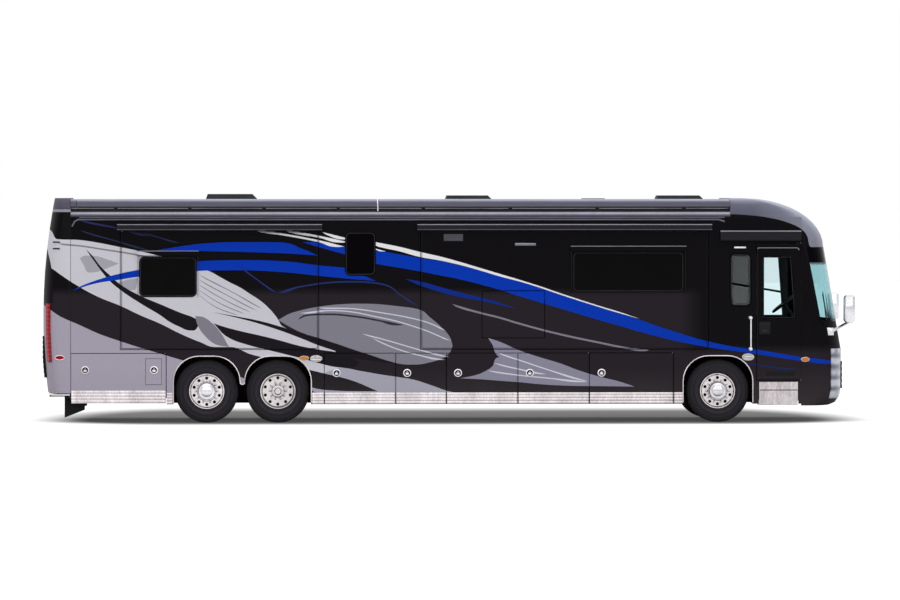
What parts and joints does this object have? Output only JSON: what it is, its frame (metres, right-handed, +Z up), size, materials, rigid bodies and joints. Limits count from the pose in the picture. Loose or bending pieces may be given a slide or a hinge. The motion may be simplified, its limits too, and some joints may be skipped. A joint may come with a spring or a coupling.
{
  "type": "motorhome",
  "caption": "Long black and blue coach motorhome with a tag axle, slide rooms, bay doors, roof awnings and a raked one-piece windscreen.",
  "frame": {"origin": "on the ground, at the middle of the coach's overall length and width", "axes": "+X forward along the coach, +Y to its left side, +Z up"},
  "size_m": [13.8338, 3.0376, 3.89],
  "materials": {
    "paint": "gloss",
    "roof_skin": "satin",
    "frame_steel": "satin",
    "underbody_panel": "matte",
    "tinted_glass": "gloss",
    "black_plastic": "satin",
    "clear_lens": "gloss",
    "red_lens": "gloss",
    "amber_lens": "gloss",
    "bright": "polished",
    "cab_trim": "matte",
    "upholstery": "matte",
    "engine_metal": "matte",
    "flap_rubber": "matte",
    "step_metal": "brushed",
    "pin_steel": "satin",
    "wheel_alloy": "polished",
    "tyre_rubber": "matte"
  },
  "bodies": {
    "coach": {"chassis": "frame_steel", "underbody": "underbody_panel", "wall_right": "paint", "wall_left": "paint", "roof": "roof_skin", "front_cap": "paint", "rear_cap": "paint", "cab_glass": "tinted_glass", "grilles": "black_plastic", "head_lamps": "clear_lens", "tail_lamps": "red_lens", "marker_lamps": "amber_lens", "roof_units": "roof_skin", "awnings": "roof_skin", "mirrors": "bright", "dashboard": "cab_trim", "cab_seats": "upholstery", "axles": "frame_steel", "engine": "engine_metal", "tow_hitch": "frame_steel", "mud_flap": "flap_rubber", "entry_step": "step_metal", "door_pins": "pin_steel"},
    "knuckle_right": {"knuckle_right": "frame_steel"},
    "front_wheel_right": {"front_rim_right": "wheel_alloy", "front_tyre_right": "tyre_rubber"},
    "drive_wheels_right": {"drive_rims_right": "wheel_alloy", "drive_tyres_right": "tyre_rubber"},
    "tag_wheel_right": {"tag_rim_right": "wheel_alloy", "tag_tyre_right": "tyre_rubber"},
    "knuckle_left": {"knuckle_left": "frame_steel"},
    "front_wheel_left": {"front_rim_left": "wheel_alloy", "front_tyre_left": "tyre_rubber"},
    "drive_wheels_left": {"drive_rims_left": "wheel_alloy", "drive_tyres_left": "tyre_rubber"},
    "tag_wheel_left": {"tag_rim_left": "wheel_alloy", "tag_tyre_left": "tyre_rubber"},
    "slide_right_rear": {"slide_right_rear": "paint", "slide_right_rear_glass": "tinted_glass"},
    "slide_right_front": {"slide_right_front": "paint", "slide_right_front_glass": "tinted_glass"},
    "slide_left": {"slide_left": "paint", "slide_left_glass": "tinted_glass"},
    "tv_hatch": {"tv_hatch": "paint"},
    "entry_door": {"entry_door": "paint", "entry_door_glass": "tinted_glass"},
    "bay_door_right_rear": {"bay_door_right_rear": "paint"},
    "bay_door_right_1": {"bay_door_right_1": "paint"},
    "bay_door_right_2": {"bay_door_right_2": "paint"},
    "bay_door_right_3": {"bay_door_right_3": "paint"},
    "bay_door_right_4": {"bay_door_right_4": "paint"},
    "bay_door_right_5": {"bay_door_right_5": "paint"},
    "bay_door_left_rear": {"bay_door_left_rear": "paint"},
    "bay_door_left_1": {"bay_door_left_1": "paint"},
    "bay_door_left_2": {"bay_door_left_2": "paint"},
    "bay_door_left_3": {"bay_door_left_3": "paint"}
  },
  "joints": [
    {"name": "steer_right", "type": "hinge", "parent": "coach", "child": "knuckle_right", "pos_m": [4.5895, -0.96, 0.535], "axis": [0, 0, 1], "range_deg": [-45, 45]},
    {"name": "front_wheel_right_spin", "type": "hinge", "parent": "knuckle_right", "child": "front_wheel_right", "pos_m": [4.5895, -1.07, 0.535], "axis": [0, 1, 0], "continuous": true},
    {"name": "drive_wheels_right_spin", "type": "hinge", "parent": "coach", "child": "drive_wheels_right", "pos_m": [-2.9085, -1.07, 0.535], "axis": [0, 1, 0], "continuous": true},
    {"name": "tag_wheel_right_spin", "type": "hinge", "parent": "coach", "child": "tag_wheel_right", "pos_m": [-4.1195, -1.07, 0.535], "axis": [0, 1, 0], "continuous": true},
    {"name": "steer_left", "type": "hinge", "parent": "coach", "child": "knuckle_left", "pos_m": [4.5895, 0.96, 0.535], "axis": [0, 0, 1], "range_deg": [-45, 45]},
    {"name": "front_wheel_left_spin", "type": "hinge", "parent": "knuckle_left", "child": "front_wheel_left", "pos_m": [4.5895, 1.07, 0.535], "axis": [0, 1, 0], "continuous": true},
    {"name": "drive_wheels_left_spin", "type": "hinge", "parent": "coach", "child": "drive_wheels_left", "pos_m": [-2.9085, 1.07, 0.535], "axis": [0, 1, 0], "continuous": true},
    {"name": "tag_wheel_left_spin", "type": "hinge", "parent": "coach", "child": "tag_wheel_left", "pos_m": [-4.1195, 1.07, 0.535], "axis": [0, 1, 0], "continuous": true},
    {"name": "slide_right_rear_out", "type": "slide", "parent": "coach", "child": "slide_right_rear", "axis": [0, -1, 0], "range_m": [0, 0.66]},
    {"name": "slide_right_front_out", "type": "slide", "parent": "coach", "child": "slide_right_front", "axis": [0, -1, 0], "range_m": [0, 0.66]},
    {"name": "slide_left_out", "type": "slide", "parent": "coach", "child": "slide_left", "axis": [0, 1, 0], "range_m": [0, 0.66]},
    {"name": "tv_hatch_lift", "type": "hinge", "parent": "slide_right_front", "child": "tv_hatch", "pos_m": [1.097, -1.261, 2.208], "axis": [-1, 0, 0], "range_deg": [0, 90]},
    {"name": "entry_door_swing", "type": "hinge", "parent": "coach", "child": "entry_door", "pos_m": [6.0062, -1.28, 1.9], "axis": [0, 0, 1], "range_deg": [0, 90]},
    {"name": "bay_door_right_rear_swing", "type": "hinge", "parent": "coach", "child": "bay_door_right_rear", "pos_m": [-4.826, -1.28, 0.75], "axis": [0, 0, 1], "range_deg": [0, 90]},
    {"name": "bay_door_right_1_swing", "type": "hinge", "parent": "coach", "child": "bay_door_right_1", "pos_m": [-0.92439, -1.28, 0.75], "axis": [0, 0, 1], "range_deg": [0, 90]},
    {"name": "bay_door_right_2_swing", "type": "hinge", "parent": "coach", "child": "bay_door_right_2", "pos_m": [-0.06032, -1.28, 0.75], "axis": [0, 0, 1], "range_deg": [0, 90]},
    {"name": "bay_door_right_3_swing", "type": "hinge", "parent": "coach", "child": "bay_door_right_3", "pos_m": [1.15688, -1.28, 0.75], "axis": [0, 0, 1], "range_deg": [0, 90]},
    {"name": "bay_door_right_4_swing", "type": "hinge", "parent": "coach", "child": "bay_door_right_4", "pos_m": [2.37587, -1.28, 0.75], "axis": [0, 0, 1], "range_deg": [0, 90]},
    {"name": "bay_door_right_5_swing", "type": "hinge", "parent": "coach", "child": "bay_door_right_5", "pos_m": [3.814, -1.28, 0.75], "axis": [0, 0, 1], "range_deg": [0, 90]},
    {"name": "bay_door_left_rear_swing", "type": "hinge", "parent": "coach", "child": "bay_door_left_rear", "pos_m": [-4.826, 1.28, 0.75], "axis": [0, 0, -1], "range_deg": [0, 90]},
    {"name": "bay_door_left_1_swing", "type": "hinge", "parent": "coach", "child": "bay_door_left_1", "pos_m": [-0.06032, 1.28, 0.75], "axis": [0, 0, -1], "range_deg": [0, 90]},
    {"name": "bay_door_left_2_swing", "type": "hinge", "parent": "coach", "child": "bay_door_left_2", "pos_m": [2.37587, 1.28, 0.75], "axis": [0, 0, -1], "range_deg": [0, 90]},
    {"name": "bay_door_left_3_swing", "type": "hinge", "parent": "coach", "child": "bay_door_left_3", "pos_m": [3.814, 1.28, 0.75], "axis": [0, 0, -1], "range_deg": [0, 90]}
  ],
  "couplings": [
    {"joint": "steer_left", "follows": "steer_right", "ratio": 1}
  ]
}
